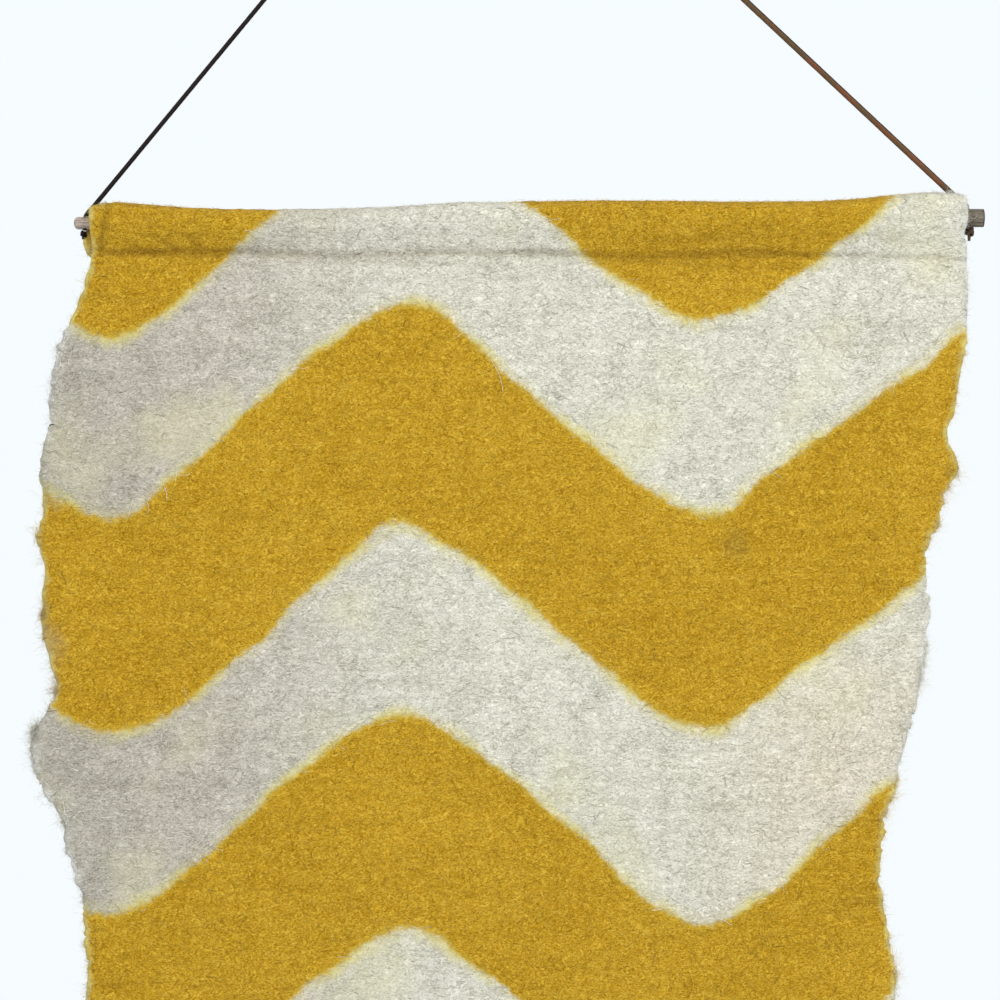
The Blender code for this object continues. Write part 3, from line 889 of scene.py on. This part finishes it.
def felt_material():
    """Matted wool: ochre and pale cream, with a soft uneven border between them."""
    g = Graph("wool_felt")
    place = g.object_place()
    side, _, height = g.axes(place)
    warp = g.warp(place, 90.0)
    curly = g.vector("ADD", place, g.scaled(warp, 9 * MM))
    flat = g.times(place, (0.45, 1.0, 1.0))
    fine = g.noise(flat, 1050.0, 1.0, 0.6)
    fleck = g.noise(flat, 480.0, 2.0, 0.6)
    mottle = g.noise(flat, 120.0, 3.0, 0.6)
    cloud = g.noise(place, 8.0, 3.0, 0.55)
    blotch = g.noise(g.times(place, (1.0, 1.0, 0.7)), 52.0, 4.0, 0.65)
    courses = g.noise(g.times(place, (0.09, 1.0, 1.0)), 130.0, 1.0)
    wales = g.noise(g.times(place, (1.0, 1.0, 0.07)), 95.0, 1.0)
    lying = threads(g, curly, 0.10, 4.2, 430.0, 0.065)
    lying_2 = threads(g, curly, -0.25, 4.0, 390.0, 0.060)
    curls = threads(g, curly, 0.9, 2.8, 420.0, 0.065)
    curls_2 = threads(g, curly, -0.7, 2.6, 390.0, 0.060)

    # The colour border: a soft edge with hairs of each colour in the other.
    edge = g.math("SUBTRACT", g.noise(place, 120.0, 5.0, 0.7), 0.5)
    band = g.math("MULTIPLY_ADD", edge, 11 * MM, g.attribute("band"))
    ochre_share = g.smooth(band, -3.4 * MM, 2.8 * MM)
    patchy = g.smooth(g.noise(place, 26.0, 2.0), 0.40, 0.62, 0.25, 0.95)
    halo = g.product(g.smooth(band, -12 * MM, -1 * MM), patchy)
    rim = g.math("MULTIPLY_ADD", edge, 16 * MM, g.attribute("rim"))
    thin = g.product(g.smooth(rim, 11 * MM, 0.0), g.smooth(blotch, 0.62, 0.38, 0.35, 1.0))
    worn = g.product(g.smooth(rim, 7 * MM, 0.0), g.smooth(blotch, 0.66, 0.42, 0.5, 1.0))

    # Cream wool: pinker and greyer at the left, with drifts of faint yellow from the dye.
    left = g.smooth(side, 0.02, -0.30)
    drift = g.noise(g.vector("ADD", place, (3.0, 1.0, 2.0)), 8.0, 2.0, 0.5)
    # Partly the wool's own tones and partly painted shade: lighter where the relief is high, darker
    # where it is low.
    cream_tone_and_shade = g.total(
        -0.13, (fine, 1.0), (fleck, 0.2), (mottle, 0.30), (courses, 0.20), (wales, 0.16),
        (lying, -0.32), (curls_2, -0.12), (lying_2, 0.34), (curls, 0.12), (blotch, -0.6),
    )
    cream = g.mix(left, g.tones(cream_tone_and_shade, *CREAM_TONES), g.tones(cream_tone_and_shade, *LEFT_CREAM_TONES))
    cream = g.mix(g.smooth(side, -0.25, -0.37, 0.0, 0.7), cream, rgb(238, 239, 238), "MULTIPLY")
    warmer = g.product(g.smooth(side, 0.12, 0.35), g.smooth(height, -0.75, -1.0))
    cream = g.mix(warmer, cream, rgb(255, 250, 246), "MULTIPLY")
    cream = g.mix(g.smooth(drift, 0.52, 0.70, 0.0, 0.30), cream, rgb(226, 221, 172))
    cream = g.mix(g.product(halo, 0.72), cream, rgb(216, 204, 112))
    # Painted light and shade at the thin rim: pale bluish white for light showing through the
    # cloth, with painted grey shade at the left.
    shaded = g.mix(left, rgb(200, 204, 196), rgb(142, 143, 133))
    rim_light_and_shade = g.mix(g.smooth(blotch, 0.40, 0.62), rgb(222, 224, 220), shaded)
    cream = g.mix(g.product(thin, 0.55), cream, rim_light_and_shade)

    # Ochre wool: yellower along its border, and paler at the thin rim, partly worn-off dye and
    # partly painted light showing through the thin cloth.
    # Partly the wool's own tones and partly painted shade: lighter where the relief is high, darker
    # where it is low.
    ochre_tone_and_shade = g.total(
        -0.57, (fine, 1.3), (fleck, 0.2), (mottle, 0.20), (courses, 0.20), (wales, 0.14),
        (curls_2, -0.32), (lying, -0.16), (lying_2, 0.26), (curls, 0.34), (cloud, 0.25),
        (blotch, -0.20),
    )
    ochre = g.tones(ochre_tone_and_shade, *OCHRE_TONES)
    ochre = g.mix(g.smooth(band, 6 * MM, 0.0, 0.0, 0.45), ochre, rgb(204, 178, 62))
    # Partly wear and partly painted light: the thin ochre rim is paler.
    ochre = g.mix(g.product(worn, 0.8), ochre, rgb(216, 206, 126))

    # Both wools, with stains, painted shade in the troughs and at the left rim, and specks.
    tone = stained_and_shaded(g, g.mix(ochre_share, cream, ochre), place, warp)
    # Painted shade in the troughs and the sleeve's groove.
    trough_shade = g.product(g.attribute("trough_shade"), 0.7)
    tone = g.mix(trough_shade, tone, rgb(190, 184, 174), "MULTIPLY")
    speck = g.smooth(g.noise(place, 300.0, 1.0), 0.80, 0.84)
    tone = g.mix(g.product(speck, 0.6), tone, rgb(84, 66, 46))

    relief = g.total(
        mottle, (fine, 0.5), (lying, -0.2), (curls, 0.45), (lying_2, 0.4), (curls_2, -0.3),
        (courses, 0.8), (wales, 0.6),
    )
    return g.finish(
        Base_Color=tone, Roughness=0.95, Normal=g.bump(relief, 0.8 * MM, 0.85),
        Specular_IOR_Level=0.08, Sheen_Weight=0.05, Sheen_Roughness=0.6,
    )


# ---------------- felt: hairs


def combined(first, second, angles):
    """Ways between two sets of unit vectors, at one or more angles for each pair."""
    return np.cos(angles)[..., None] * first[:, None] + np.sin(angles)[..., None] * second[:, None]


def hair_lines(roots, ways, normals, lengths, lifts, kind, rng):
    """The middle line of each hair along the cloth, over its root or starting from it."""
    count, steps = len(roots), kind.rings + 1
    heading = np.cumsum(rng.normal(0.0, kind.curl, (count, steps)), axis=1)
    heading -= heading.mean(axis=1, keepdims=True)
    moves = (lengths / steps)[:, None, None] * combined(ways, np.cross(normals, ways), heading)
    line = np.concatenate([np.zeros((count, 1, 3)), np.cumsum(moves, axis=1)], axis=1)
    line += (roots if kind.rim_bound else roots - line.mean(axis=1))[:, None]
    return line + lifts[:, :, None] * normals[:, None]


def hair_mesh(name, line, sides, normals, radii, rings, colours):
    """Closed three-sided hairs around their lines, tapering at both ends."""
    count = len(line)
    around = combined(sides, normals, 2 * np.pi * np.arange(3)[None] / 3)
    tube = line[:, 1:-1, None] + radii[:, None, None, None] * around[:, None]
    per = 2 + 3 * rings
    points = np.concatenate([line[:, :1], tube.reshape(count, 3 * rings, 3), line[:, -1:]], axis=1)
    faces = []
    for k in range(3):
        n = (k + 1) % 3
        faces.append((0, 1 + n, 1 + k))
        faces.append((per - 1, per - 4 + k, per - 4 + n))
        for ring in range(rings - 1):
            a, b = 1 + 3 * ring, 4 + 3 * ring
            faces += [(a + k, a + n, b + n), (a + k, b + n, b + k)]
    faces = (np.array(faces)[None] + per * np.arange(count)[:, None, None]).reshape(-1, 3)
    mesh = bpy.data.meshes.new(name)
    mesh.vertices.add(count * per)
    mesh.vertices.foreach_set("co", points.reshape(-1))
    mesh.loops.add(faces.size)
    mesh.loops.foreach_set("vertex_index", faces.reshape(-1))
    mesh.polygons.add(len(faces))
    mesh.polygons.foreach_set("loop_start", np.arange(0, faces.size, 3))
    mesh.update(calc_edges=True)
    for label, values in colours.items():
        store(mesh, label, np.repeat(values, per))
    mesh.shade_smooth()
    return mesh


def fetched(items, key, shape, kind=float):
    """A property of many items as an array."""
    found = np.empty(shape, kind).reshape(-1)
    items.foreach_get(key, found)
    return found.reshape(shape)


class Surface:
    """The felt's faces as arrays, to scatter hairs over. outward is the way to the rim."""

    def __init__(self, mesh):
        mesh.calc_loop_triangles()
        faces, count = mesh.loop_triangles, len(mesh.vertices)
        self.corners = fetched(faces, "vertices", (len(faces), 3), np.int32)
        self.places = fetched(mesh.vertices, "co", (count, 3))
        self.band = fetched(mesh.attributes["band"].data, "value", count)
        a, b, c = (self.places[self.corners[:, k]] for k in range(3))
        cross = np.cross(b - a, c - a)
        self.areas = np.linalg.norm(cross, axis=1) / 2
        self.normals = cross / (2 * self.areas[:, None] + 1e-12)
        self.middles = (a + b + c) / 3
        rims = fetched(mesh.attributes["rim"].data, "value", count)[self.corners]
        self.rim = rims.mean(1)
        slope = np.cross(self.normals, c - b) * rims[:, :1]
        rest = np.cross(self.normals, a - c) * rims[:, 1:2]
        slope += rest + np.cross(self.normals, b - a) * rims[:, 2:]
        slope /= 2 * self.areas[:, None] + 1e-12
        self.outward = -slope

    def scatter(self, count, weights, rng):
        """Random places over the faces, with normals, band values and the way to the rim."""
        share = self.areas * weights
        picks = rng.choice(len(share), count, p=share / share.sum())
        mix = rng.random((count, 2))
        mix[mix.sum(1) > 1] = 1 - mix[mix.sum(1) > 1]
        mix = np.column_stack([mix, 1 - mix.sum(1)])
        corners = self.corners[picks]
        places = (self.places[corners] * mix[..., None]).sum(1)
        return places, self.normals[picks], (self.band[corners] * mix).sum(1), self.outward[picks]


def hair_material():
    """Single wool hairs: cream or ochre, from nearly white to brown, darker in places."""
    g = Graph("wool_hairs")
    place = g.object_place()
    shade = g.attribute("shade")
    cream = g.mix(g.smooth(shade, 0.0, 0.9), rgb(166, 159, 143), rgb(248, 246, 236))
    ochre = g.mix(g.smooth(shade, 0.0, 0.8), rgb(150, 112, 8), rgb(226, 192, 76))
    brown = g.smooth(shade, 0.02, 0.01)
    tone = g.mix(g.attribute("dye"), cream, ochre)
    tone = g.mix(g.product(brown, 0.7), tone, rgb(70, 56, 42))
    darker = g.smooth(g.noise(place, 260.0), 0.4, 0.7, 0.0, 0.25)
    tone = g.mix(darker, tone, rgb(120, 108, 90), "MULTIPLY")
    return g.finish(Base_Color=tone, Roughness=0.85, Specular_IOR_Level=0.15)


def unit(vectors):
    return vectors / (np.linalg.norm(vectors, axis=1, keepdims=True) + 1e-12)


def tangents(normals, spread, rng):
    """A direction in the cloth for each hair, within a spread of the cloth's width."""
    count = len(normals)
    angle = rng.normal(0.0, 1.0, count) * spread
    across = np.tile([1.0, 0.0, 0.0], (count, 1)) * rng.choice([-1.0, 1.0], count)[:, None]
    across = unit(across - normals * (across * normals).sum(1, keepdims=True))
    other = np.cross(normals, across)
    return across * np.cos(angle)[:, None] + other * np.sin(angle)[:, None]


# One kind of hair. It has ranges of length, radius, height of its arch (lift) and of its free end
# (stand), in millimetres, and of shade. A rim-bound hair starts at the rim and leaves it.
Hairs = namedtuple("Hairs", "count length radius curl spread lift stand shade seed rings rim_bound")
OVERSAMPLE = 4  # places drawn for each hair, before the dye picks among them
DYE_BLUR = 3.0 * MM  # hairs of one wool stray this far into the other
SINK = 0.25  # how deep a hair's line lies in the cloth, in millimetres
FRINGE_FLATNESS = (1.0, 0.5, 1.0)  # the fringe lies mostly in the cloth's own plane


def make_hairs(surface, material, name, kind, weights, dye=None):
    """Hairs of one kind over the felt's faces. dye picks the wool that they lie in, or both."""
    rng = np.random.default_rng(kind.seed)
    places, normals, band, outward = surface.scatter(kind.count * OVERSAMPLE, weights, rng)
    dyed = band + rng.normal(0.0, DYE_BLUR, len(band)) > 0
    keep = np.arange(len(dyed)) if dye is None else np.flatnonzero(dyed == dye)
    keep = keep[:kind.count]
    places, normals, dyed = places[keep], normals[keep], dyed[keep]
    count = len(keep)
    ways = tangents(normals, kind.spread, rng)
    if kind.rim_bound:
        combed = np.array([noise.noise_vector(Vector(p) * 90.0) for p in places])
        ways = unit((outward[keep] + 0.8 * combed + 0.9 * ways) * FRINGE_FLATNESS)
    lengths = rng.uniform(*kind.length, count) * MM
    radii = rng.uniform(*kind.radius, count) * MM
    along = np.linspace(0.0, 1.0, kind.rings + 2)
    arch = np.sin(np.pi * along)[None, :] * rng.uniform(*kind.lift, count)[:, None]
    rise = along[None, :] * rng.uniform(*kind.stand, count)[:, None]
    lifts = (arch + rise - SINK) * MM
    colours = {"dye": dyed.astype(float), "shade": rng.uniform(*kind.shade, count)}
    if kind.rim_bound:  # paler than the cloth, and darker at the left
        colours["dye"] *= rng.uniform(0.2, 0.8, count)
        colours["shade"] += 0.1 + 0.4 * np.clip(0.5 + places[:, 0] / 0.3, 0, 1)
    line = hair_lines(places, ways, normals, lengths, lifts, kind, rng)
    sides = np.cross(normals, ways)
    mesh = hair_mesh(name, line, sides, normals, radii, kind.rings, colours)
    return add_piece(name, mesh, material)


LYING_OCHRE = Hairs(
    count=12500, length=(6, 19), radius=(0.13, 0.25), curl=0.55, spread=1.6, lift=(0.1, 0.7),
    stand=(0, 0), shade=(0, 1), seed=11, rings=2, rim_bound=False,
)
LYING_CREAM = LYING_OCHRE._replace(
    length=(6, 20), radius=(0.13, 0.24), curl=0.5, spread=0.6, seed=12,
)
STANDING = Hairs(
    count=10000, length=(2, 7), radius=(0.05, 0.12), curl=0.6, spread=1.6, lift=(0.0, 0.6),
    stand=(0.8, 3.0), shade=(0.35, 1), seed=13, rings=1, rim_bound=False,
)
LONG = LYING_OCHRE._replace(
    count=1600, length=(14, 38), radius=(0.13, 0.22), curl=0.35, spread=1.0, lift=(0.3, 1.0),
    shade=(0.4, 1), seed=14, rings=8,
)
FRINGE = STANDING._replace(
    count=16000, length=(2, 8), curl=1.2, lift=(-0.6, 0.6), stand=(-1, 1), shade=(0.1, 0.6),
    seed=16, rings=2, rim_bound=True,
)
TUFTED = FRINGE._replace(
    count=5200, length=(6, 19), radius=(0.05, 0.10), curl=1.1, stand=(-1.5, 1.5), seed=15, rings=3,
)

# Where loose wisps hang at the rim: middle and reach.
TUFTS_MM = [
    (-390, -640, 14),
    (-402, -785, 16),
    (-392, -865, 26),
    (-385, -920, 14),
    (-404, -965, 22),
    (-372, -1035, 18),
    (452, -735, 18),
    (440, -790, 14),
    (423, -905, 20),
    (392, -1030, 20),
    (400, -1190, 24),
    (-350, -1240, 24),
    (-120, -1650, 30),
    (230, -1655, 30),
]


def make_felt():
    """The felt and its hairs. Each kind of hair has its own weights over the felt's faces."""
    mesh = felt_mesh()
    surface = Surface(mesh)
    felt = add_piece("hanging_felt", mesh, felt_material(), ["felt"])
    hairs = hair_material()
    front = np.where(surface.normals[:, 1] < 0.3, 1.0, 0.2)
    rim = np.exp(-surface.rim / (2 * MM))
    crown = (surface.middles[:, 2] > HEM_END + 45 * MM) & (surface.normals[:, 2] > 0.7)
    edges = 0.3 * rim + 0.006 + 0.3 * crown
    across, down = surface.middles[:, 0] / MM, surface.middles[:, 2] / MM
    wisps = sum(np.exp(-((across - x) ** 2 + (down - z) ** 2) / r**2) for x, z, r in TUFTS_MM)
    clumps = np.array([math.exp(4 * noise.noise(Vector(p) * 130.0)) for p in surface.middles])
    pieces = [make_hairs(surface, hairs, *row) for row in (
        ("ochre_hairs", LYING_OCHRE, front, True),
        ("cream_hairs", LYING_CREAM, front, False),
        ("edge_fuzz", STANDING, edges),
        ("long_hairs", LONG, front),
        ("rim_fringe", FRINGE, rim * clumps * (wisps + 0.5)),
        ("loose_wisps", TUFTED, rim * clumps * (wisps + 0.06)),
    )]


make_felt()


# ---------------- stage and light

FLOOR_DROP = 0.3
FLOOR_RADIUS = 3.6
AMBIENT_COLOUR, AMBIENT_STRENGTH = (0.93, 0.97, 1.0, 1.0), 0.42
BACKGROUND_COLOUR = rgb(246, 252, 255)

SOFTBOXES = [  # name, place, size, power and colour
    ("left_softbox", (-4.4, -2.8, 0.8), 1.6, 106, (1.0, 0.99, 0.98)),
    ("right_softbox", (4.6, -3.0, 0.6), 1.6, 142, (1.0, 0.99, 0.97)),
    ("front_softbox", (0.4, -3.9, 1.9), 1.8, 92, (1.0, 1.0, 1.0)),
    ("back_softbox", (-1.5, 4.6, 1.2), 2.4, 150, (1.0, 1.0, 1.0)),
]
AIM_DOWN = 0.3  # the lights aim this far below the felt's top


def make_floor():
    """A plain pale floor below the hanging."""
    g = Graph("pale_floor")
    tone = g.mix(g.noise(g.object_place(), 3.0, 3.0), rgb(208, 212, 216), rgb(213, 217, 221))
    shape = bmesh.new()
    bmesh.ops.create_circle(shape, cap_ends=True, segments=96, radius=FLOOR_RADIUS)
    mesh = mesh_from(shape, "floor")
    mesh.materials.append(g.finish(Base_Color=tone, Roughness=0.9, Specular_IOR_Level=0.1))
    floor = linked("floor", mesh)
    floor.location.z = FELT_LOW.z - FLOOR_DROP


def make_world():
    """Dim soft light from all round, in front of a bright plain background."""
    world = bpy.data.worlds.new("world")
    bpy.context.scene.world = world
    world.use_nodes = True
    tree = world.node_tree
    dim = tree.nodes["Background"]
    dim.inputs["Color"].default_value = AMBIENT_COLOUR
    dim.inputs["Strength"].default_value = AMBIENT_STRENGTH
    bright = tree.nodes.new("ShaderNodeBackground")
    bright.inputs["Color"].default_value = BACKGROUND_COLOUR
    seen = tree.nodes.new("ShaderNodeLightPath").outputs["Is Camera Ray"]
    choice = tree.nodes.new("ShaderNodeMixShader")
    tree.links.new(seen, choice.inputs[0])
    tree.links.new(dim.outputs[0], choice.inputs[1])
    tree.links.new(bright.outputs[0], choice.inputs[2])
    tree.links.new(choice.outputs[0], tree.nodes["World Output"].inputs["Surface"])


def make_light(name, place, size, power, colour):
    """A softbox that looks at the hanging."""
    data = bpy.data.lights.new(name, "AREA")
    data.size = size
    data.energy = power
    data.color = colour
    light = linked(name, data)
    light.location = place
    target = Vector(((FELT_LOW.x + FELT_HIGH.x) / 2, 0.0, FELT_HIGH.z - AIM_DOWN))
    way = target - Vector(place)
    light.rotation_euler = way.to_track_quat("-Z", "Y").to_euler()


make_floor()
make_world()
for softbox in SOFTBOXES:
    make_light(*softbox)
bpy.context.scene.view_settings.view_transform = "Standard"
